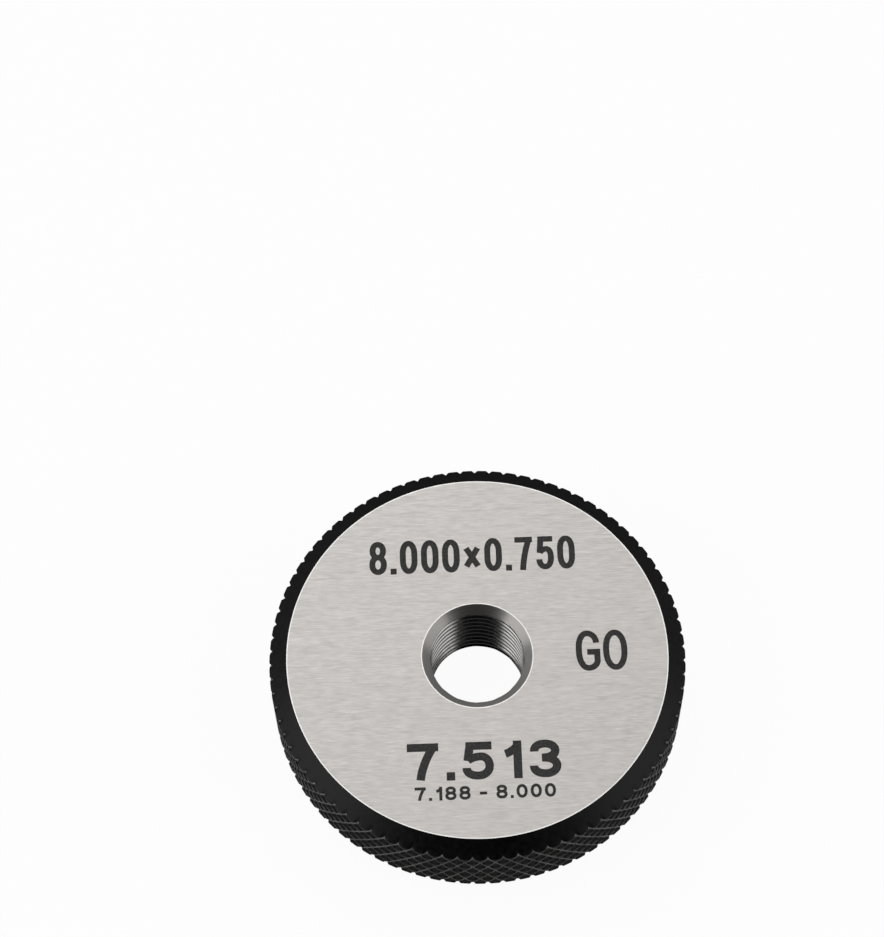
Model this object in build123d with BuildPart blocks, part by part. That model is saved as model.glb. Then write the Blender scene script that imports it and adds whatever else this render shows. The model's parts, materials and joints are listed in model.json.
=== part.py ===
from build123d import *
import math
import os

# Solid thread ring gauge for a fine M8 thread: one hardened steel ring, turned in one piece.
# The ring lies flat. Its origin is on the thread axis at the underside, and +Z runs up the bore.
# Lengths are in millimetres and angles in degrees.

# Body
body_diameter = 32.0  # over the knurl
body_thickness = 8.0  # between the two ground faces
face_diameter = 29.26  # of a ground face, out to the rim chamfer
rim_chamfer_height = 1.0

# Gauging bore, plain at the minor diameter of the thread
thread_major_diameter = 8.0
thread_pitch = 0.75
countersink_diameter = 8.46
countersink_angle = 90.0  # included

# Cross knurl, rolled into the rim in both hands
knurl_pitch = 1.0  # from groove to groove, square across them
knurl_angle = 30.0  # between a groove and the axis
knurl_depth = 0.3
knurl_groove_angle = 90.0  # between the two flanks of a groove
knurl_cutter_reach = 0.2  # how far the groove section stands proud of the rim

# An ISO metric thread loses five eighths of its sharp triangle's height on each side.
triangle_height = thread_pitch * math.sqrt(3) / 2
bore_radius = thread_major_diameter / 2 - triangle_height * 5 / 8

face_radius = face_diameter / 2
body_radius = body_diameter / 2
countersink_radius = countersink_diameter / 2
countersink_slope = math.tan(math.radians(countersink_angle / 2))
countersink_depth = (countersink_radius - bore_radius) / countersink_slope

# Grooves are spread evenly round the rim, so their number is a whole one.
groove_spacing = knurl_pitch / math.cos(math.radians(knurl_angle))
groove_count = round(math.pi * body_diameter / groove_spacing)
groove_lead = math.pi * body_diameter / math.tan(math.radians(knurl_angle))
groove_slope = math.tan(math.radians(knurl_groove_angle / 2))
groove_half_width = (knurl_depth + knurl_cutter_reach) * groove_slope

# One V groove of each hand, following a steep helix over the full height of the ring
grooves = []
for left_handed in (False, True):
    with BuildPart() as groove:
        with BuildLine() as path:
            Helix(groove_lead, body_thickness, body_radius, lefthand=left_handed)
        with BuildSketch(Plane(path.line @ 0, x_dir=(1, 0, 0), z_dir=path.line % 0)):
            with BuildLine():
                Polyline(
                    (-knurl_depth, 0),
                    (knurl_cutter_reach, groove_half_width),
                    (knurl_cutter_reach, -groove_half_width),
                    close=True,
                )
            make_face()
        sweep(is_frenet=True)
    grooves.append(groove.part)

with BuildPart() as ring_gauge:
    # Half section of the turned blank, with a countersink and a rim chamfer at both faces
    with BuildSketch(Plane.XZ):
        with BuildLine():
            Polyline(
                (bore_radius, countersink_depth),
                (countersink_radius, 0),
                (face_radius, 0),
                (body_radius, rim_chamfer_height),
                (body_radius, body_thickness - rim_chamfer_height),
                (face_radius, body_thickness),
                (countersink_radius, body_thickness),
                (bore_radius, body_thickness - countersink_depth),
                close=True,
            )
        make_face()
    revolve(axis=Axis.Z)

    # The two hands of grooves cross and leave raised diamonds, and run out through the chamfers.
    for groove in grooves:
        with PolarLocations(0, groove_count):
            add(groove, mode=Mode.SUBTRACT)

ring_gauge.part.label = "ring_gauge"
os.makedirs("parts", exist_ok=True)
export_step(ring_gauge.part, "parts/ring_gauge.step")
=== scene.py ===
"""Dressed model of a solid thread ring gauge, lying on a pale floor with its marked face up.

The ring is one closed mesh made by a Geometry Nodes tree: a knurled rim, a threaded bore between
two countersinks, and two flat ground faces, the upper one etched. Lengths are in metres.
"""

import json
import logging
import math
from collections.abc import Callable
from dataclasses import dataclass
from enum import Enum, auto
from functools import partial
from typing import Any

import bmesh
import bpy
from mathutils import Matrix, Vector
from mathutils.geometry import delaunay_2d_cdt

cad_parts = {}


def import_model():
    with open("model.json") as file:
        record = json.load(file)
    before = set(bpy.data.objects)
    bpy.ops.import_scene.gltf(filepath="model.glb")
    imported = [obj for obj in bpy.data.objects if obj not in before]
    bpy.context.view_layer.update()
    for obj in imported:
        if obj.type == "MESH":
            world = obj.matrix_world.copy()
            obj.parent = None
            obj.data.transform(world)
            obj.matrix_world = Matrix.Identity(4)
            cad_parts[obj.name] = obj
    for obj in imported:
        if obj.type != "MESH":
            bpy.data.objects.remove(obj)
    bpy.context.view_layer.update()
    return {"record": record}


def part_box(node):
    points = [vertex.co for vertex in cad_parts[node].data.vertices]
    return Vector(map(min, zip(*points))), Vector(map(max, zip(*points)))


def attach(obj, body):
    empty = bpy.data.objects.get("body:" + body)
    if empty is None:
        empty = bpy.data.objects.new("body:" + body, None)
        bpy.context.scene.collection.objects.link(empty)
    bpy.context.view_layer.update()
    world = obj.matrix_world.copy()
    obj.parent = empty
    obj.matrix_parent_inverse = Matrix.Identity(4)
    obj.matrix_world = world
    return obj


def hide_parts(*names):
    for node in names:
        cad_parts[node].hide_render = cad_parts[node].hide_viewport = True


Tree = bpy.types.NodeTree
Node = bpy.types.Node
Socket = bpy.types.NodeSocket
Material = bpy.types.Material
# What adds a node to one tree: add_node() with its tree given
Adder = Callable[..., Node]

LOG = logging.getLogger("ring_gauge")
BODY = "root"
NODE = "ring_gauge"
MM = 0.001
MICRON = 1e-6

MIX = "ShaderNodeMix"
SPREAD = "ShaderNodeMapRange"
NOISE = "ShaderNodeTexNoise"
VECTOR = "ShaderNodeCombineXYZ"
JOIN = "GeometryNodeJoinGeometry"
PLACE = "GeometryNodeSetPosition"
STORE = "GeometryNodeStoreNamedAttribute"

# Noise seldom leaves this range, so a pattern is spread out from it.
USUAL_NOISE = (0.3, 0.7)
# The detail and roughness of a noise that has only a little finer grain in it
PLAIN_GRAIN = (2.0, 0.5)
# Whole numbers that differ by less than this are the same.
SAME = 0.1


class Sum(Enum):
    """What a Math node works out, by Blender's own names."""

    ADD = auto()
    SUBTRACT = auto()
    MULTIPLY = auto()
    DIVIDE = auto()
    MINIMUM = auto()
    MAXIMUM = auto()
    FLOOR = auto()
    FLOORED_MODULO = auto()
    PINGPONG = auto()
    SINE = auto()
    COSINE = auto()
    COMPARE = auto()
    GREATER_THAN = auto()


class Side(Enum):
    """Which face of the ring a piece of it belongs to."""

    UPPER = auto()
    LOWER = auto()


class Finish(Enum):
    """Which finish a face of the ring's mesh has."""

    RIM = 0
    CONE = 1
    THREAD = 2
    FACE = 3
    EDGE = 4
    MARK = 5


def linear_colour(hex_value: str) -> tuple[float, float, float, float]:
    """Turns an sRGB hex colour into linear values with an alpha of one.

    Args:
        hex_value: Six hex digits, with or without a leading hash.

    Returns:
        Red, green, blue and alpha, as Blender's sockets take them.
    """
    digits = hex_value.lstrip("#")
    channels = [int(digits[i : i + 2], 16) / 255 for i in (0, 2, 4)]
    red, green, blue = (
        c / 12.92 if c <= 0.04045 else ((c + 0.055) / 1.055) ** 2.4 for c in channels
    )
    return red, green, blue, 1.0


def feed(tree: Tree, socket: Socket, source: Any) -> None:
    """Gives an input its source.

    Args:
        tree: The tree that the socket is in.
        socket: The input.
        source: A node, whose first output in use is linked, a socket, a hex colour, or a plain
            value.
    """
    if isinstance(source, Node):
        source = next(s for s in source.outputs if s.enabled)
    if isinstance(source, Socket):
        tree.links.new(source, socket)
    elif socket.type == "RGBA":
        socket.default_value = linear_colour(source)
    else:
        socket.default_value = source


def add_node(tree: Tree, kind: str | Sum, *feeds: Any, **settings: Any) -> Node:
    """Adds a node to a tree, with its settings and what feeds it.

    Args:
        tree: The tree that gets the node.
        kind: The node's type name, or what a Math node works out.
        feeds: What its inputs in use take, in order: what feed() takes, a list of several for one
            socket, or None to leave it as it is.
        settings: The node's own properties, such as operation.

    Returns:
        The new node.
    """
    if isinstance(kind, Sum):
        kind, settings = "ShaderNodeMath", {"operation": kind.name, **settings}
    node = tree.nodes.new(kind)
    for name, value in settings.items():
        setattr(node, name, value)
    sockets = [s for s in node.inputs if s.enabled]
    for socket, given in zip(sockets, feeds):
        for source in reversed(given) if isinstance(given, list) else (given,):
            if source is not None:
                feed(tree, socket, source)
    return node


def put(name: str, data: bpy.types.ID) -> bpy.types.Object:
    """Puts a new object in the scene.

    Args:
        name: Its name.
        data: Its mesh, light or camera.

    Returns:
        The object.
    """
    placed = bpy.data.objects.new(name, data)
    bpy.context.scene.collection.objects.link(placed)
    return placed


def face_outwards(mesh: bpy.types.Mesh, weld: float = 0.0) -> None:
    """Turns a closed mesh's faces outwards, or a flat one's all the same way.

    Args:
        mesh: The mesh, which is changed.
        weld: Points closer than this are merged first, and edges shorter than half of it go.
    """
    shell = bmesh.new()
    shell.from_mesh(mesh)
    if weld:
        bmesh.ops.remove_doubles(shell, verts=shell.verts, dist=weld)
        bmesh.ops.dissolve_degenerate(shell, edges=shell.edges, dist=weld / 2)
    bmesh.ops.recalc_face_normals(shell, faces=shell.faces)
    shell.to_mesh(mesh)
    shell.free()


# ---- Finishes ----


@dataclass(frozen=True)
class Surface:
    """A finish: a procedural material on one Principled shader, on Object coordinates."""

    name: str
    roughness: float

    def dress(self, add: Adder, place: Socket) -> dict[str, Any]:
        """Adds the finish's own nodes.

        Args:
            add: Adds a node.
            place: Object coordinates.

        Returns:
            What the shader's inputs take, by name.
        """
        raise NotImplementedError

    def uneven(self, add: Adder, pattern: Node, swing: float) -> Node:
        """Lets the finish's roughness swing about its middle with a pattern.

        Args:
            add: Adds a node.
            pattern: The noise that it follows.
            swing: How far it swings either way.

        Returns:
            The node that gives the roughness.
        """
        low, high = self.roughness - swing, self.roughness + swing
        return add(SPREAD, pattern, *USUAL_NOISE, low, high)

    def material(self) -> Material:
        """Builds the material.

        Returns:
            The material, named for the finish.
        """
        made = bpy.data.materials.new(self.name)
        made.use_nodes = True
        tree = made.node_tree
        shader = tree.nodes["Principled BSDF"]
        add = partial(add_node, tree)
        place = add("ShaderNodeTexCoord").outputs["Object"]
        for name, source in self.dress(add, place).items():
            feed(tree, shader.inputs[name], source)
        return made


@dataclass(frozen=True)
class GroundSteel(Surface):
    """Hardened tool steel, surface ground: bright, with fine straight marks along X."""

    name: str = "ground_tool_steel"
    light_marks: str = "#e0dcd8"
    dark_marks: str = "#c9c5c2"
    roughness: float = 0.42
    # The light marks are the glossier ones.
    swing: float = -0.04
    # The marks blur a reflection across them far more than along them.
    stretch: float = 0.8
    # A grinding wheel leaves marks far too fine to see, so they are drawn 0.07 mm apart.
    mark_spacing: float = 0.07 * MM
    mark_length: float = 0.9 * MM
    # Heavier marks lie among them, a few millimetres long.
    heavy_spacing: float = 0.2 * MM
    heavy_length: float = 4.0 * MM
    heavy_share: float = 0.25
    grain: tuple[float, float] = (2.0, 0.6)
    relief: float = 0.12
    mark_depth: float = 2 * MICRON

    def streaks(self, add: Adder, place: Socket, length: float, spacing: float) -> Node:
        """Adds noise drawn out along X.

        Args:
            add: Adds a node.
            place: Object coordinates.
            length: How long a mark is.
            spacing: How far apart the marks are.

        Returns:
            The noise node.
        """
        scale = (1 / length, 1 / spacing, 1 / spacing)
        drawn = add("ShaderNodeMapping", place, None, None, scale)
        return add(NOISE, drawn, 1.0, *self.grain)

    def dress(self, add: Adder, place: Socket) -> dict[str, Any]:
        """Adds nodes whose streaks vary colour, roughness and relief.

        Args:
            add: Adds a node.
            place: Object coordinates.

        Returns:
            What the shader's inputs take, by name.
        """
        fine = self.streaks(add, place, self.mark_length, self.mark_spacing)
        heavy = self.streaks(add, place, self.heavy_length, self.heavy_spacing)
        both = add(MIX, self.heavy_share, fine, heavy)
        marks = add(SPREAD, both, *USUAL_NOISE, 0.0, 1.0)
        colour = add(MIX, marks, self.dark_marks, self.light_marks, data_type="RGBA")
        return {
            "Metallic": 1.0,
            "Base Color": colour,
            "Roughness": self.uneven(add, both, self.swing),
            "Anisotropic": self.stretch,
            "Tangent": add(VECTOR, 0.0, 1.0, 0.0),
            "Normal": add("ShaderNodeBump", self.relief, self.mark_depth, None, fine),
        }


@dataclass(frozen=True)
class StonedEdgePaintedHighlight(Surface):
    """A ground face's stoned edge, painted near white as a highlight: a bright hairline."""

    name: str = "stoned_steel_edge_painted_highlight"
    # Near white, brighter than steel: the painted highlight on the flat edge
    colour: str = "#f7f6f4"
    roughness: float = 0.5
    swing: float = 0.08
    # The stone leaves short rubbed patches, about half a millimetre long.
    patch: float = 0.5 * MM

    def dress(self, add: Adder, place: Socket) -> dict[str, Any]:
        """Adds nodes that rub the edge a little unevenly.

        Args:
            add: Adds a node.
            place: Object coordinates.

        Returns:
            What the shader's inputs take, by name.
        """
        rubbed = add(NOISE, place, 1 / self.patch, *PLAIN_GRAIN)
        return {
            "Metallic": 1.0,
            "Base Color": self.colour,
            "Roughness": self.uneven(add, rubbed, self.swing),
        }


@dataclass(frozen=True)
class BlackOxide(Surface):
    """Hot-blacked steel: a thin layer of magnetite, satin and very dark at every angle.

    The knurl's grooves get lighter lines along their bottoms: painted highlights for the light
    that the grooves catch.
    """

    name: str = "black_oxide_steel"
    dark: str = "#202020"
    light: str = "#2c2c2c"
    # The colour of the painted highlight in the grooves
    groove: str = "#888886"
    # The painted highlight is nearly no metal, and the little oxide that shows through it is.
    highlight_metal: float = 0.1
    # Magnetite keeps dark at a glance, where most coatings turn bright.
    glancing: str = "#aaaaaa"
    roughness: float = 0.4
    swing: float = 0.06
    # The oxide's mottling is on the scale of the scratches under it, about 0.4 mm.
    mottling: float = 0.4 * MM
    grain: tuple[float, float] = (3.0, 0.55)
    # The painted highlight lies in the deeper half of the line along a groove's bottom.
    line_from: float = 0.5
    # The painted highlights come and go over a diamond or two, and are never quite lost.
    breaks: float = 1.3 * MM
    break_range: tuple[float, float] = (0.35, 0.6)
    faintest: float = 0.45

    def dress(self, add: Adder, place: Socket) -> dict[str, Any]:
        """Adds nodes for a mottled dark metal with painted highlights in the grooves.

        The highlights follow the ring's groove_line attribute.

        Args:
            add: Adds a node.
            place: Object coordinates.

        Returns:
            What the shader's inputs take, by name.
        """
        mottled = add(NOISE, place, 1 / self.mottling, *self.grain)
        oxide = add(MIX, mottled, self.dark, self.light, data_type="RGBA")
        stored = add("ShaderNodeAttribute", attribute_name="groove_line")
        line = add(SPREAD, stored.outputs["Fac"], self.line_from, 1.0, 0.0, 1.0)
        patches = add(NOISE, place, 1 / self.breaks, *PLAIN_GRAIN)
        broken = add(SPREAD, patches, *self.break_range, self.faintest, 1.0)
        # Where the painted highlight lies in the grooves, broken into patches
        painted_highlight = add(Sum.MULTIPLY, line, broken)
        return {
            "Metallic": add(SPREAD, painted_highlight, 0.0, 1.0, 1.0, self.highlight_metal),
            "Specular Tint": self.glancing,
            "Base Color": add(MIX, painted_highlight, oxide, self.groove, data_type="RGBA"),
            "Roughness": self.uneven(add, mottled, self.swing),
        }


@dataclass(frozen=True)
class TurnedSteel(Surface):
    """Steel turned on a lathe: satin, with fine rings that draw its highlights out across them."""

    name: str = "turned_tool_steel"
    light: str = "#b9b6b3"
    dark: str = "#9d9a97"
    roughness: float = 0.36
    swing: float = 0.05
    stretch: float = 0.8
    # The tool leaves rings about 0.05 mm apart.
    ring_spacing: float = 0.05 * MM

    def dress(self, add: Adder, place: Socket) -> dict[str, Any]:
        """Adds nodes whose rings vary colour and roughness.

        Args:
            add: Adds a node.
            place: Object coordinates.

        Returns:
            What the shader's inputs take, by name.
        """
        scale = (0.0, 0.0, 1 / self.ring_spacing)
        squeezed = add("ShaderNodeMapping", place, None, None, scale)
        rings = add(NOISE, squeezed, 1.0, *PLAIN_GRAIN)
        share = add(SPREAD, rings, *USUAL_NOISE, 0.0, 1.0)
        return {
            "Metallic": 1.0,
            "Base Color": add(MIX, share, self.dark, self.light, data_type="RGBA"),
            "Roughness": self.uneven(add, rings, self.swing),
            "Anisotropic": self.stretch,
            "Tangent": add(VECTOR, 0.0, 0.0, 1.0),
        }


@dataclass(frozen=True)
class LappedThread(Surface):
    """A thread's flanks, mirror-polished by lapping, between crests and roots in painted shade."""

    name: str = "lapped_thread_steel"
    flank: str = "#a9a7a5"
    # Painted shade: the colour of the crests and roots
    scale: str = "#1b1a1a"
    # Seen at a glance the painted shade on crests and roots stays dark.
    glancing: str = "#c6c6c6"
    roughness: float = 0.18
    swing: float = 0.05
    # Lapping leaves patches of slightly different gloss about half a millimetre across.
    patch: float = 0.5 * MM

    def dress(self, add: Adder, place: Socket) -> dict[str, Any]:
        """Adds nodes that read the ring's lapped attribute.

        Args:
            add: Adds a node.
            place: Object coordinates.

        Returns:
            What the shader's inputs take, by name.
        """
        lapped = add("ShaderNodeAttribute", attribute_name="lapped").outputs["Fac"]
        patches = add(NOISE, place, 1 / self.patch, *PLAIN_GRAIN)
        return {
            "Metallic": 1.0,
            "Specular Tint": self.glancing,
            # Crests and roots take the painted shade, the flanks their own colour
            "Base Color": add(MIX, lapped, self.scale, self.flank, data_type="RGBA"),
            "Roughness": self.uneven(add, patches, self.swing),
        }


@dataclass(frozen=True)
class EtchedMark(Surface):
    """The floor of an etched marking: dark grey and matt, a little uneven."""

    name: str = "etched_steel_mark"
    dark: str = "#252424"
    light: str = "#3e3d3c"
    roughness: float = 0.7
    specular: float = 0.3
    # The acid leaves a grain of about 0.15 mm.
    grain: float = 0.15 * MM

    def dress(self, add: Adder, place: Socket) -> dict[str, Any]:
        """Adds nodes for a fine grain.

        Args:
            add: Adds a node.
            place: Object coordinates.

        Returns:
            What the shader's inputs take, by name.
        """
        grain = add(NOISE, place, 1 / self.grain, *PLAIN_GRAIN)
        share = add(SPREAD, grain, *USUAL_NOISE, 0.0, 1.0)
        return {
            "Base Color": add(MIX, share, self.dark, self.light, data_type="RGBA"),
            "Roughness": self.roughness,
            "Specular IOR Level": self.specular,
        }


# ---- The marking ----

# A figure's corners are rounded: how many straight pieces a round has, the share of a side that it
# takes where the side has a round at its other end and where it ends free, how far it may be drawn
# out before its inner edge folds, and a power that makes it a little squarer than an ellipse.
ROUND_STEPS = 8
SHARED_REACH = 0.5
FREE_REACH = 0.9
LONGEST_DRAW = 1.9
SQUARENESS = 0.95


@dataclass(frozen=True)
class Stroke:
    """One pen stroke of a figure, in a cell one wide and one high.

    Attributes:
        points: The corners of its middle line. Every corner that it passes is rounded.
        closed: Whether it runs back to its first corner.
        square: Whether it reaches past its ends by half its weight.
    """

    points: tuple[tuple[float, float], ...]
    closed: bool = False
    square: bool = False

    def middle_line(self, width: float, height: float) -> list[Vector]:
        """Rounds the corners of the stroke.

        Args:
            width: Width of the cell between its outer middle lines.
            height: Height of the cell between its outer middle lines.

        Returns:
            The points of the middle line.
        """
        corners = [Vector((u * width, v * height)) for u, v in self.points]
        last = len(corners) - 1
        line = [] if self.closed else [corners[0]]
        for i in range(last + 1) if self.closed else range(1, last):
            corner = corners[i]
            before, after = corners[i - 1], corners[(i + 1) % (last + 1)]
            free_before = not self.closed and i == 1
            free_after = not self.closed and i == last - 1
            back = (before - corner) * (FREE_REACH if free_before else SHARED_REACH)
            onward = (after - corner) * (FREE_REACH if free_after else SHARED_REACH)
            longest = LONGEST_DRAW * min(back.length, onward.length)
            back *= min(1, longest / back.length)
            onward *= min(1, longest / onward.length)
            for step in range(ROUND_STEPS + 1):
                turn = step / ROUND_STEPS * math.pi / 2
                fall, rise = math.cos(turn) ** SQUARENESS, math.sin(turn) ** SQUARENESS
                line.append(corner + back * (1 - rise) + onward * (1 - fall))
        return line if self.closed else line + [corners[last]]

    def outline(self, width: float, height: float, weight: float) -> list[list[Vector]]:
        """Gives the stroke its weight.

        Args:
            width: Width of the figure.
            height: Height of the figure.
            weight: Width of the stroke.

        Returns:
            Four-sided flat pieces that make up the stroke.
        """
        line = self.middle_line(width - weight, height - weight)
        line = [p for p, q in zip(line, [None] + line) if q is None or (p - q).length > MICRON]
        if self.closed and (line[0] - line[-1]).length < MICRON:
            line.pop()
        if self.square:
            line[0] = line[0] + (line[0] - line[1]).normalized() * weight / 2
            line[-1] = line[-1] + (line[-1] - line[-2]).normalized() * weight / 2
        edges = []
        for i, point in enumerate(line):
            before = line[i - 1] if self.closed or i > 0 else point
            after = line[(i + 1) % len(line)] if self.closed or i < len(line) - 1 else point
            arriving = (point - before).normalized()
            leaving = (after - point).normalized()
            along = (arriving + leaving).normalized()
            mitre = 1 / along.dot(leaving if leaving.length else arriving)
            aside = Vector((-along.y, along.x)) * mitre * weight / 2
            centre = point + Vector((weight / 2, weight / 2))
            edges.append((centre - aside, centre + aside))
        following = edges[1:] + (edges[:1] if self.closed else [])
        return [[a, b, c, d] for (a, d), (b, c) in zip(edges, following)]


def round_loop(low: float, high: float, inset: float = 0.0) -> Stroke:
    """A closed round as wide as the cell, between two heights."""
    return Stroke(((inset, low), (1 - inset, low), (1 - inset, high), (inset, high)), closed=True)


# Plain block figures
FIGURES: dict[str, tuple[Stroke, ...]] = {
    "0": (round_loop(0, 1),),
    "1": (
        Stroke(((1, 0), (1, 1)), square=True),
        Stroke(((1, 0.97), (0.62, 0.77), (0, 0.70))),
    ),
    "3": (
        Stroke(((0.03, 0.74), (0.03, 1), (0.95, 1), (0.95, 0.53), (0.35, 0.53))),
        Stroke(((0.35, 0.53), (1, 0.53), (1, 0), (0, 0), (0, 0.27))),
    ),
    "5": (
        Stroke(((0.16, 1), (0.93, 1)), square=True),
        Stroke(((0.16, 1), (0.05, 0.5))),
        Stroke(((0.05, 0.5), (0.25, 0.64), (1, 0.64), (1, 0), (0, 0), (0, 0.27))),
    ),
    "7": (
        Stroke(((0, 1), (1, 1)), square=True),
        Stroke(((0.93, 0.96), (0.48, 0.45), (0.38, -0.1))),
    ),
    "8": (round_loop(0, 0.53), round_loop(0.53, 1, 0.05)),
    ".": (Stroke(((0, 0), (0, 0.01)), square=True),),
    "-": (Stroke(((0, 0.42), (1, 0.42)), square=True),),
    "×": (Stroke(((0, 0.10), (1, 0.76))), Stroke(((0, 0.76), (1, 0.10)))),
    "G": (
        Stroke(((0.97, 0.72), (0.92, 1), (0, 1), (0, 0), (1, 0), (1, 0.25))),
        Stroke(((1, 0.25), (1, 0.46)), square=True),
        Stroke(((0.62, 0.46), (1, 0.46)), square=True),
    ),
    "O": (round_loop(0, 1),),
    " ": (),
}
# The width of a figure that isn't as wide as a usual one, as a share of that
WIDTHS = {"1": 0.66, ".": 0.0, "-": 0.65, " ": 0.3}


@dataclass(frozen=True)
class MarkLine:
    """One line of plain figures or a plain word etched into the face.

    Attributes:
        text: What the line says.
        centre: Where its middle lies on the face, in X and Y.
        height: Height of its figures.
        width: Length of the whole line.
        weight: Width of its strokes.
        gap: Space between two figures, as a share of a figure's width.
    """

    text: str
    centre: tuple[float, float]
    height: float
    width: float
    weight: float
    gap: float = 0.2

    def pieces(self) -> list[list[Vector]]:
        """Lays the line out.

        Returns:
            Four-sided flat pieces, in their place on the face.
        """
        shares = [WIDTHS.get(figure, 1.0) for figure in self.text]
        gaps = self.gap * (len(self.text) - 1)
        # A figure's width is its share of the usual one, and never less than its stroke.
        narrow = sum(1 for share in shares if share == 0)
        usual = (self.width - narrow * self.weight) / (sum(shares) + gaps)
        left = -self.width / 2
        laid = []
        for figure, share in zip(self.text, shares):
            width = max(usual * share, self.weight)
            corner = Vector((self.centre[0] + left, self.centre[1] - self.height / 2))
            for stroke in FIGURES[figure]:
                for piece in stroke.outline(width, self.height, self.weight):
                    laid.append([corner + point for point in piece])
            left += width + usual * self.gap
        return laid


@dataclass(frozen=True)
class FaceMarking:
    """The figures etched into the upper face, as flat outlines at the origin's height."""

    lines: tuple[MarkLine, ...] = (
        MarkLine("8.000×0.750", (-0.1 * MM, 8.32 * MM), 2.8 * MM, 16.0 * MM, 0.47 * MM),
        MarkLine("GO", (9.53 * MM, 0.06 * MM), 3.3 * MM, 3.95 * MM, 0.47 * MM, 0.12),
        MarkLine("7.513", (0.2 * MM, -8.5 * MM), 3.0 * MM, 11.6 * MM, 0.64 * MM, 0.24),
        MarkLine("7.188 - 8.000", (0.2 * MM, -11.0 * MM), 1.08 * MM, 10.6 * MM, 0.23 * MM, 0.26),
    )
    tilt: float = math.radians(0.3)
    weld: float = 2 * MICRON

    def outline(self) -> bpy.types.Object:
        """Unites the strokes of all lines.

        Returns:
            A helper object, which the ring's tree reads and which is then removed.
        """
        # The triangulation works in millimetres and keeps what lies in any stroke.
        corners = []
        pieces = []
        for line in self.lines:
            for piece in line.pieces():
                pieces.append([len(corners) + i for i in range(len(piece))])
                corners.extend(point / MM for point in piece)
        inside_edges, closeness = 1, 1e-4
        found = delaunay_2d_cdt(corners, [], pieces, inside_edges, closeness)
        points, triangles, owners = found[0], found[2], found[5]
        kept = [triangle for triangle, owner in zip(triangles, owners) if owner]
        mesh = bpy.data.meshes.new("face_marking")
        mesh.from_pydata([(x * MM, y * MM, 0) for x, y in points], [], kept)
        mesh.transform(Matrix.Rotation(self.tilt, 4, "Z"))
        face_outwards(mesh, self.weld)
        return put("face_marking", mesh)


# ---- The ring ----


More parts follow.
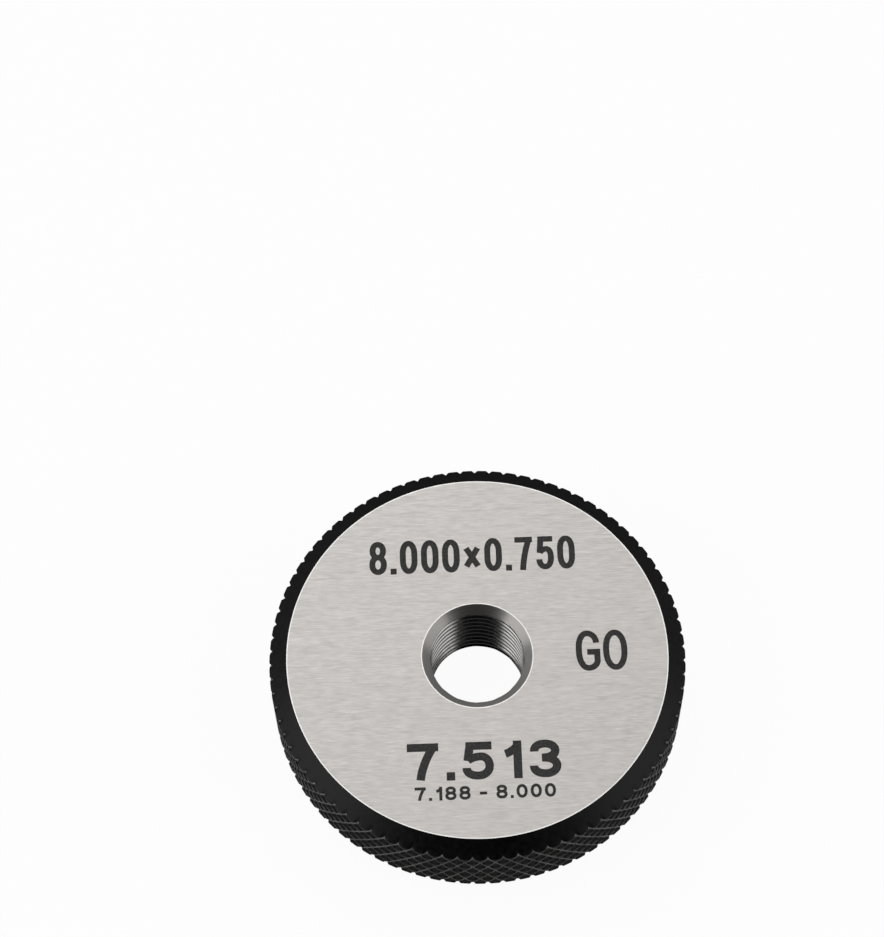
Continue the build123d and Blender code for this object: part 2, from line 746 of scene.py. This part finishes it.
@dataclass
class RingGauge:
    """The gauge: a hardened ring with a knurled rim, ground faces and a threaded bore."""

    body_radius: float
    thickness: float
    bore_radius: float
    face_radius: float = 14.63 * MM
    rim_chamfer_height: float = 1.0 * MM
    countersink_radius: float = 4.23 * MM
    stoned_edge: float = 0.08 * MM
    marking: FaceMarking = FaceMarking()
    mark_depth: float = 0.02 * MM
    knurl_angle: float = math.radians(30)
    knurl_pitch: float = 1.0 * MM
    knurl_depth: float = 0.2 * MM
    # Every groove and crest of the knurl is a whole number of steps wide, ten to the pitch.
    steps_per_groove: int = 10
    thread_major_radius: float = 4.0 * MM
    thread_pitch: float = 0.75 * MM
    # The thread's flanks stand at 60 degrees to each other, from a root an eighth of a pitch wide.
    flank_slope: float = math.sqrt(3)
    root_width: float = 1 / 8
    bore_columns: int = 174
    rows_per_thread: int = 16
    # The root and the crest, which is a quarter of a pitch wide, are painted dark as shade, and
    # the lapped flanks between them are not. The painted shade fades out and in again between
    # these distances from the root's middle, as shares of a pitch.
    root_shade_fades: tuple[float, float] = (0.1, 0.19)
    crest_shade_fades: tuple[float, float] = (0.3125, 0.375)
    # The first turn's thin end is painted dark as shade too, this far in from where a
    # countersink ends.
    first_turn_shade_fades: tuple[float, float] = (0.1 * MM, 0.16 * MM)
    # An edge is sharp where its faces meet at more than this. The knurl's crests are a little
    # rounded, so on the rim only the chamfers and the grooves shade as cut.
    sharp_angle: float = math.radians(12)
    knurl_sharp_angle: float = math.radians(50)
    weld: float = 0.3 * MICRON

    def sizes(self) -> dict[str, float | int]:
        """Gathers what the tree's named inputs take.

        Returns:
            Each input's name and value.
        """
        girth = 2 * math.pi * self.body_radius
        count = round(girth / (self.knurl_pitch / math.cos(self.knurl_angle)))
        groove_spacing = girth / count
        row_height = groove_spacing / self.steps_per_groove / math.tan(self.knurl_angle)
        turns = self.thickness / self.thread_pitch + 1
        return {
            "Body radius": self.body_radius,
            "Thickness": self.thickness,
            "Face radius": self.face_radius,
            "Rim chamfer slope": (self.body_radius - self.face_radius) / self.rim_chamfer_height,
            "Countersink radius": self.countersink_radius,
            "Bore radius": self.bore_radius,
            "Thread major radius": self.thread_major_radius,
            "Thread pitch": self.thread_pitch,
            "Knurl count": count,
            "Knurl depth": self.knurl_depth,
            "Knurl half groove": self.knurl_depth / math.cos(self.knurl_angle) / groove_spacing,
            "Rim columns": count * self.steps_per_groove // 2,
            "Rim rows": round(self.thickness / row_height),
            "Row height": row_height,
            "Bore columns": self.bore_columns,
            "Bore rows": math.ceil(turns * self.rows_per_thread),
            "Stoned edge": self.stoned_edge,
            "Mark depth": self.mark_depth,
        }

    @staticmethod
    def flat_grid(add: Adder, columns: Socket, rows: Socket) -> tuple[Node, Node, Node]:
        """Adds a grid to be rolled up, and the nodes that count along it.

        Args:
            add: Adds a node.
            columns: How many columns of faces it has.
            rows: How many rows of faces it has.

        Returns:
            The grid, and each vertex's column and row.
        """
        across = add(Sum.ADD, columns, 1)
        up = add(Sum.ADD, rows, 1)
        grid = add("GeometryNodeMeshGrid", None, None, across, up)
        # A grid's vertices are numbered up its first column, then up the next.
        index = add("GeometryNodeInputIndex")
        passed = add(Sum.DIVIDE, index, up)
        column = add(Sum.FLOOR, passed)
        row = add(Sum.FLOORED_MODULO, index, up)
        return grid, column, row

    @staticmethod
    def rolled(add: Adder, grid: Node, radius: Node, turn: Node, height: Node) -> Node:
        """Adds the nodes that put a grid's vertices round the ring's axis.

        Args:
            add: Adds a node.
            grid: The flat grid.
            radius: Each vertex's distance from the axis.
            turn: How far round it is from +X, as a share of a whole turn.
            height: Its height above the floor.

        Returns:
            The node that holds the rolled grid.
        """
        angle = add(Sum.MULTIPLY, turn, math.tau)
        sides = []
        for wave in (Sum.COSINE, Sum.SINE):
            share = add(wave, angle)
            sides.append(add(Sum.MULTIPLY, radius, share))
        point = add(VECTOR, *sides, height)
        return add(PLACE, grid, None, point)

    @staticmethod
    def lifted(add: Adder, shape: Node, height: Any) -> Node:
        """Adds the nodes that raise a flat shape.

        Args:
            add: Adds a node.
            shape: The node that holds the shape.
            height: How far it goes up.

        Returns:
            The node that holds the raised shape.
        """
        lift = add(VECTOR, 0.0, 0.0, height)
        return add(PLACE, shape, None, None, lift)

    @staticmethod
    def tagged(add: Adder, shape: Node, finish: Finish | Node) -> Node:
        """Adds the node that writes a shape's finish on its faces.

        Args:
            add: Adds a node.
            shape: The node that holds the shape.
            finish: Its finish, or a node that gives the finish's number.

        Returns:
            The branch's last node.
        """
        number = finish.value if isinstance(finish, Finish) else finish
        return add(STORE, shape, None, "finish", number, data_type="INT", domain="FACE")

    @staticmethod
    def depth_at(add: Adder, given: dict[str, Any], height: Node | Socket) -> Node:
        """Adds the nodes that measure how far a height lies from the nearer face.

        Args:
            add: Adds a node.
            given: The tree's inputs by name.
            height: The height above the floor.

        Returns:
            The node that gives the depth.
        """
        room = add(Sum.SUBTRACT, given["Thickness"], height)
        return add(Sum.MINIMUM, height, room)

    def rim_branch(self, add: Adder, given: dict[str, Any]) -> Node:
        """Adds the nodes that make the knurled rim with its two chamfers.

        The grid's rows are staggered, so its edges run along the grooves of both hands.

        Args:
            add: Adds a node.
            given: The tree's inputs by name.

        Returns:
            The branch's last node.
        """
        grid, column, row = self.flat_grid(add, given["Rim columns"], given["Rim rows"])
        stagger = add(Sum.PINGPONG, row, 1)
        half = add(Sum.MULTIPLY, stagger, 0.5)
        along = add(Sum.ADD, column, half)
        turn = add(Sum.DIVIDE, along, given["Rim columns"])
        rise = add(Sum.MULTIPLY, row, given["Row height"])
        height = add(Sum.MINIMUM, rise, given["Thickness"])
        # How far a point is from the nearest groove of either hand, in groove spacings
        grooves = add(Sum.MULTIPLY, turn, given["Knurl count"])
        climb = add(Sum.MULTIPLY, row, 1 / self.steps_per_groove)
        distances = []
        for hand in (Sum.ADD, Sum.SUBTRACT):
            phase = add(hand, grooves, climb)
            distances.append(add(Sum.PINGPONG, phase, 0.5))
        nearest = add(Sum.MINIMUM, *distances)
        share = add(Sum.DIVIDE, nearest, given["Knurl half groove"])
        filled = add(Sum.MINIMUM, share, 1)
        sunk = add(Sum.SUBTRACT, 1, filled)
        cut = add(Sum.MULTIPLY, sunk, given["Knurl depth"])
        knurled = add(Sum.SUBTRACT, given["Body radius"], cut)
        # The chamfers start at both faces.
        depth = self.depth_at(add, given, height)
        spread = add(Sum.MULTIPLY, depth, given["Rim chamfer slope"])
        chamfered = add(Sum.ADD, given["Face radius"], spread)
        radius = add(Sum.MINIMUM, knurled, chamfered)
        rim = self.rolled(add, grid, radius, turn, height)
        split = add("GeometryNodeTriangulate", rim, quad_method="SHORTEST_DIAGONAL")
        # The painted highlight along a groove's bottom fades over a step,
        # and where the groove runs out.
        steps = add(Sum.MULTIPLY, nearest, self.steps_per_groove)
        bottom = add(Sum.SUBTRACT, 1, steps, use_clamp=True)
        room = add(Sum.SUBTRACT, chamfered, knurled)
        deep = add(Sum.DIVIDE, room, given["Knurl depth"], use_clamp=True)
        line = add(Sum.MULTIPLY, bottom, deep)
        return add(STORE, split, None, "groove_line", line, data_type="FLOAT", domain="POINT")

    def bore_branch(self, add: Adder, given: dict[str, Any]) -> Node:
        """Adds the nodes that make the threaded bore with its two countersinks.

        Args:
            add: Adds a node.
            given: The tree's inputs by name.

        Returns:
            The branch's last node.
        """
        grid, column, row = self.flat_grid(add, given["Bore columns"], given["Bore rows"])
        turn = add(Sum.DIVIDE, column, given["Bore columns"])
        # A right-hand thread climbs one pitch a turn, and the rows climb with it.
        threads = add(Sum.DIVIDE, row, self.rows_per_thread)
        climbed = add(Sum.ADD, threads, turn)
        below = add(Sum.SUBTRACT, climbed, 1)
        rise = add(Sum.MULTIPLY, below, given["Thread pitch"])
        risen = add(Sum.MAXIMUM, rise, 0)
        height = add(Sum.MINIMUM, risen, given["Thickness"])
        # Its flanks rise from the edges of its root to the bore's wall.
        away = add(Sum.PINGPONG, threads, 0.5)
        off_root = add(Sum.SUBTRACT, away, self.root_width / 2)
        on_flank = add(Sum.MAXIMUM, off_root, 0)
        offset = add(Sum.MULTIPLY, on_flank, given["Thread pitch"])
        lift = add(Sum.MULTIPLY, offset, self.flank_slope)
        flank = add(Sum.SUBTRACT, given["Thread major radius"], lift)
        threaded = add(Sum.MAXIMUM, flank, given["Bore radius"])
        # The thread runs out where the countersink's cone begins.
        depth = self.depth_at(add, given, height)
        cone = add(Sum.SUBTRACT, given["Countersink radius"], depth)
        past = add(Sum.SUBTRACT, given["Bore radius"], cone)
        opened = add(Sum.MULTIPLY, past, self.flank_slope)
        runout = add(Sum.ADD, given["Bore radius"], opened)
        full = add(Sum.MINIMUM, threaded, runout)
        radius = add(Sum.MAXIMUM, full, cone)
        bore = self.rolled(add, grid, radius, turn, height)
        # Painted shade: dark at the first turn's thin end, the roots and the crests; the lapped
        # flanks keep their own colour.
        lapped = add(SPREAD, past, *self.first_turn_shade_fades, 0.0, 1.0)
        fades = ((self.root_shade_fades, 0.0, 1.0), (self.crest_shade_fades, 1.0, 0.0))
        for (start, end), before, after in fades:
            share = add(SPREAD, away, start, end, before, after)
            lapped = add(Sum.MULTIPLY, lapped, share)
        return add(STORE, bore, None, "lapped", lapped, data_type="FLOAT", domain="POINT")

    def annulus(
        self, add: Adder, rings: tuple[tuple[Any, Any], ...], height: Any, holes: Node | None
    ) -> Node:
        """Adds the nodes that fill the flat between two circles, round any holes in it.

        Args:
            add: Adds a node.
            rings: The outer and the inner circle, each as its radius and number of points.
            height: Height of the flat above the floor.
            holes: Outlines within the flat that stay open.

        Returns:
            The node that holds the flat at its height.
        """
        circles = [
            add("GeometryNodeCurvePrimitiveCircle", points, radius) for radius, points in rings
        ]
        joined = add(JOIN, circles + ([holes] if holes else []))
        filled = add("GeometryNodeFillCurve", joined, mode="TRIANGLES")
        return self.lifted(add, filled, height)

    def face_branch(self, add: Adder, given: dict[str, Any], side: Side) -> list[Node]:
        """Adds the nodes that make one ground face, with its stoned edges and any marking.

        Args:
            add: Adds a node.
            given: The tree's inputs by name.
            side: Which face it is.

        Returns:
            The last node of each part of the face.
        """
        edge = given["Stoned edge"]
        outer = add(Sum.SUBTRACT, given["Face radius"], edge)
        inner = add(Sum.ADD, given["Countersink radius"], edge)
        circles = (
            (given["Face radius"], given["Rim columns"]),
            (outer, given["Rim columns"]),
            (inner, given["Bore columns"]),
            (given["Countersink radius"], given["Bore columns"]),
        )
        height, holes, parts = 0.0, None, []
        if side is Side.UPPER:
            height = given["Thickness"]
            holes, pocket = self.marking_branch(add, given)
            parts.append(self.tagged(add, pocket, Finish.MARK))
        bands = ((Finish.EDGE, None), (Finish.FACE, holes), (Finish.EDGE, None))
        for band, (finish, cut) in enumerate(bands):
            flat = self.annulus(add, circles[band : band + 2], height, cut)
            parts.append(self.tagged(add, flat, finish))
        return parts

    def marking_branch(self, add: Adder, given: dict[str, Any]) -> tuple[Node, Node]:
        """Adds the nodes that etch the marking: its outlines, and the pockets below them.

        Args:
            add: Adds a node.
            given: The tree's inputs by name.

        Returns:
            The outlines as curves at the floor's height, and the pockets in their place.
        """
        marks = add("GeometryNodeObjectInfo", given["Marking"]).outputs["Geometry"]
        neighbours = add("GeometryNodeInputMeshEdgeNeighbors")
        border = add(Sum.COMPARE, neighbours, 1, SAME)
        outlines = add("GeometryNodeMeshToCurve", marks, border)
        depth = add(VECTOR, 0.0, 0.0, given["Mark depth"])
        walls = add("GeometryNodeExtrudeMesh", marks, border, depth, 1.0, mode="EDGES")
        bottom = add(Sum.SUBTRACT, given["Thickness"], given["Mark depth"])
        return outlines, self.lifted(add, walls, bottom)

    def shaded(self, add: Adder, shape: Node, number: Node) -> Node:
        """Adds the nodes that shade the ring: smooth as it runs on, and sharp at every cut edge.

        Args:
            add: Adds a node.
            shape: The node that holds the ring.
            number: The node that reads a face's finish.

        Returns:
            The node that holds the shaded ring.
        """
        smooth = add("GeometryNodeSetShadeSmooth", shape, None, True, domain="FACE")
        angle = add("GeometryNodeInputMeshEdgeAngle")
        on_rim = add(Sum.COMPARE, number, Finish.RIM.value, SAME)
        limits = (self.sharp_angle, self.knurl_sharp_angle)
        limit = add(SPREAD, on_rim, 0.0, 1.0, *limits)
        sharp = add(Sum.GREATER_THAN, angle, limit)
        return add("GeometryNodeSetShadeSmooth", smooth, sharp, False, domain="EDGE")

    def build_tree(
        self, finishes: dict[Finish, Material], sizes: dict[str, float | int]
    ) -> Tree:
        """Builds the Geometry Nodes tree that makes the whole ring.

        Args:
            finishes: The ring's materials.
            sizes: The named inputs and their values.

        Returns:
            The tree.
        """
        tree = bpy.data.node_groups.new("ring_gauge_tree", "GeometryNodeTree")
        tree.interface.new_socket("Geometry", in_out="OUTPUT", socket_type="NodeSocketGeometry")
        tree.interface.new_socket("Marking", in_out="INPUT", socket_type="NodeSocketObject")
        for name, value in sizes.items():
            kind = "NodeSocketInt" if isinstance(value, int) else "NodeSocketFloat"
            tree.interface.new_socket(name, in_out="INPUT", socket_type=kind)
        add = partial(add_node, tree)
        given = add("NodeGroupInput").outputs
        # The bore's faces less deep than a countersink are the countersink's.
        where = add("GeometryNodeInputPosition")
        height = add("ShaderNodeSeparateXYZ", where).outputs["Z"]
        depth = self.depth_at(add, given, height)
        countersink = add(Sum.SUBTRACT, given["Countersink radius"], given["Bore radius"])
        deeper = add(Sum.GREATER_THAN, depth, countersink)
        bore_finish = add(Sum.ADD, deeper, Finish.CONE.value)
        parts = [
            self.tagged(add, self.rim_branch(add, given), Finish.RIM),
            self.tagged(add, self.bore_branch(add, given), bore_finish),
        ]
        for side in Side:
            parts += self.face_branch(add, given, side)
        joined = add(JOIN, parts)
        closed = add("GeometryNodeMergeByDistance", joined, None, self.weld, mode="ALL")
        number = add("GeometryNodeInputNamedAttribute", "finish", data_type="INT")
        shaded = self.shaded(add, closed, number)
        last = add("GeometryNodeRealizeInstances", shaded)
        for finish, material in finishes.items():
            chosen = add(
                "FunctionNodeCompare", number, finish.value, data_type="INT", operation="EQUAL"
            )
            last = add("GeometryNodeSetMaterial", last, chosen, material)
        add("NodeGroupOutput", last)
        return tree

    def make(self) -> bpy.types.Object:
        """Makes the ring and dresses it.

        Returns:
            One closed piece at the origin, in place of the plain ring.
        """
        finishes = {
            Finish.RIM: BlackOxide().material(),
            Finish.CONE: TurnedSteel().material(),
            Finish.THREAD: LappedThread().material(),
            Finish.FACE: GroundSteel().material(),
            Finish.EDGE: StonedEdgePaintedHighlight().material(),
            Finish.MARK: EtchedMark().material(),
        }
        sizes = self.sizes()
        tree = self.build_tree(finishes, sizes)
        helper = self.marking.outline()
        blank = put("ring_blank", bpy.data.meshes.new("ring_blank"))
        modifier = blank.modifiers.new("ring", "NODES")
        modifier.node_group = tree
        values = {"Marking": helper, **sizes}
        for socket in tree.interface.items_tree:
            if socket.in_out == "INPUT":
                modifier[socket.identifier] = values[socket.name]
        graph = bpy.context.evaluated_depsgraph_get()
        mesh = bpy.data.meshes.new_from_object(blank.evaluated_get(graph))
        blank.modifiers.remove(modifier)
        for spare in (blank, helper):
            bpy.data.objects.remove(spare)
        face_outwards(mesh)
        mesh.name = "dressed_ring"
        piece = put("dressed_ring", mesh)
        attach(piece, BODY)
        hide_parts(NODE)
        return piece


# ---- The studio ----


@dataclass(frozen=True)
class Softbox:
    """A rectangular soft lamp that points at the ring.

    Attributes:
        name: The lamp's name.
        azimuth: Its direction round the ring, from +Y towards +X, in degrees.
        elevation: Its height above the floor, in degrees.
        size: Its width and height.
        brightness: What its face shows, where 1 is white.
        distance: How far it stands from the ring.
    """

    name: str
    azimuth: float
    elevation: float
    size: tuple[float, float]
    brightness: float
    distance: float = 1.0

    def make(self) -> None:
        """Makes the lamp as an area light."""
        light = bpy.data.lights.new(self.name, "AREA")
        light.shape = "RECTANGLE"
        light.size, light.size_y = self.size
        # An area lamp's power in watts for the brightness its face shows
        light.energy = self.brightness * math.pi * self.size[0] * self.size[1]
        holder = put(self.name, light)
        azimuth, elevation = math.radians(self.azimuth), math.radians(self.elevation)
        level = math.cos(elevation)
        direction = Vector(
            (math.sin(azimuth) * level, math.cos(azimuth) * level, math.sin(elevation))
        )
        holder.location = direction * self.distance
        holder.rotation_euler = (-direction).to_track_quat("-Z", "Y").to_euler()


@dataclass(frozen=True)
class Studio:
    """A plain pale floor under soft studio light."""

    floor_size: float = 6.0
    floor_gap: float = 5 * MICRON
    floor_colour: str = "#f4f4f4"
    floor_roughness: float = 0.9
    floor_specular: float = 0.1
    # How much of the floor's own white the camera sees; the rest shows the ring's shadow.
    floor_white: float = 0.95
    # The room is darker in front of the ring than behind it.
    front_strength: float = 0.28
    back_strength: float = 0.52
    # How far in front of the middle and behind it the room stops changing, where 1 is level
    room_blend: float = 0.6
    # A black card stands in front of the ring; the countersink's far side reflects it.
    card_elevation: float = math.radians(36)
    card_angle: float = math.radians(27)
    card_blur: float = math.radians(20)
    card_strength: float = 0.005
    lamps: tuple[Softbox, ...] = (
        Softbox("overhead_softbox", -27, 58, (1.1, 1.0), 0.92),
        Softbox("left_softbox", -106, 32, (0.85, 0.7), 1.5),
        Softbox("right_softbox", 106, 32, (0.85, 0.7), 1.05),
    )

    def floor_material(self) -> Material:
        """Builds the floor's matt white, which the camera and any reflection see as even.

        Returns:
            The material.
        """
        made = bpy.data.materials.new("matt_white_floor")
        made.use_nodes = True
        tree = made.node_tree
        shader = tree.nodes["Principled BSDF"]
        feed(tree, shader.inputs["Base Color"], self.floor_colour)
        feed(tree, shader.inputs["Roughness"], self.floor_roughness)
        feed(tree, shader.inputs["Specular IOR Level"], self.floor_specular)
        add = partial(add_node, tree)
        ray = add("ShaderNodeLightPath").outputs
        seen = ray["Is Camera Ray"]
        for kind in ("Is Glossy Ray", "Is Transmission Ray"):
            seen = add(Sum.MAXIMUM, seen, ray[kind])
        share = add(Sum.MULTIPLY, seen, self.floor_white)
        white = add("ShaderNodeEmission", "#ffffff", 1.0)
        mixed = add("ShaderNodeMixShader", share, shader, white)
        feed(tree, tree.nodes["Material Output"].inputs["Surface"], mixed)
        return made

    def make_floor(self) -> None:
        """Makes the floor, a hair below the ring."""
        half = self.floor_size / 2
        mesh = bpy.data.meshes.new("floor")
        corners = [(-half, -half), (half, -half), (half, half), (-half, half)]
        mesh.from_pydata([(x, y, -self.floor_gap) for x, y in corners], [], [(0, 1, 2, 3)])
        mesh.materials.append(self.floor_material())
        floor = put("floor", mesh)

    def make_room(self) -> None:
        """Makes the world, a white room that is darkest at the card."""
        world = bpy.data.worlds.new("studio")
        world.use_nodes = True
        tree = world.node_tree
        background = tree.nodes["Background"].inputs
        feed(tree, background["Color"], "#ffffff")
        add = partial(add_node, tree)
        way = add("ShaderNodeTexCoord").outputs["Generated"]
        back = add("ShaderNodeSeparateXYZ", way).outputs["Y"]
        strengths = (self.front_strength, self.back_strength)
        room = add(SPREAD, back, -self.room_blend, self.room_blend, *strengths)
        card = (0.0, -math.cos(self.card_elevation), math.sin(self.card_elevation))
        facing = add("ShaderNodeVectorMath", way, card, operation="DOT_PRODUCT")
        edges = (math.cos(self.card_angle + self.card_blur), math.cos(self.card_angle))
        lit = add(SPREAD, facing.outputs["Value"], *edges, room, self.card_strength)
        feed(tree, background["Strength"], lit)
        bpy.context.scene.world = world

    def make(self) -> None:
        """Makes the floor, the room and the lamps."""
        self.make_floor()
        self.make_room()
        for lamp in self.lamps:
            lamp.make()


@dataclass(frozen=True)
class StudioCamera:
    """A long lens above the front of the ring, looking down on the marked face."""

    focal_pixels: float = 2900.0
    frame_width: float = 884.0
    frame_height: float = 937.0
    sensor: float = 36.0
    elevation: float = math.radians(65.18)
    roll: float = math.radians(-1.70)
    distance: float = 222.0 * MM
    nearest: float = 10.0 * MM
    # Pixel at which the middle of the upper face shows
    aim_pixel: tuple[float, float] = (477.25, 655.15)

    def make(self, target: Vector) -> None:
        """Places the camera.

        Args:
            target: The point that shows at the aim pixel.
        """
        forward = Vector((0, math.cos(self.elevation), -math.sin(self.elevation)))
        level = Vector((1, 0, 0))
        upright = level.cross(forward)
        right = level * math.cos(self.roll) + upright * math.sin(self.roll)
        up = upright * math.cos(self.roll) - level * math.sin(self.roll)
        aside = (self.aim_pixel[0] - self.frame_width / 2) / self.focal_pixels
        below = (self.aim_pixel[1] - self.frame_height / 2) / self.focal_pixels
        sight = (forward + right * aside - up * below) * self.distance
        lens = bpy.data.cameras.new("studio_camera")
        lens.sensor_width = self.sensor
        lens.lens = self.focal_pixels / self.frame_height * self.sensor
        lens.clip_start = self.nearest
        camera = put("studio_camera", lens)
        axes = Matrix((right, up, -forward)).transposed()
        camera.matrix_world = Matrix.Translation(target - sight) @ axes.to_4x4()
        bpy.context.scene.camera = camera


def main() -> None:
    """Builds the ring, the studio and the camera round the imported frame."""
    logging.basicConfig(level=logging.INFO, format="%(name)s: %(message)s")
    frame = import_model()
    low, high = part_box(NODE)
    thread = next(m for m in frame["record"]["mounts"] if m["name"] == "thread")
    ring = RingGauge(
        body_radius=(high.x - low.x) / 2,
        thickness=high.z - low.z,
        bore_radius=thread["dims"]["r_mm"] * MM,
    ).make()
    mesh = ring.data
    LOG.info("%s: %d vertices, %d faces", ring.name, len(mesh.vertices), len(mesh.polygons))
    Studio().make()
    StudioCamera().make(Vector((0, 0, high.z)))
    bpy.context.scene.view_settings.view_transform = "Standard"


if __name__ == "__main__":
    main()
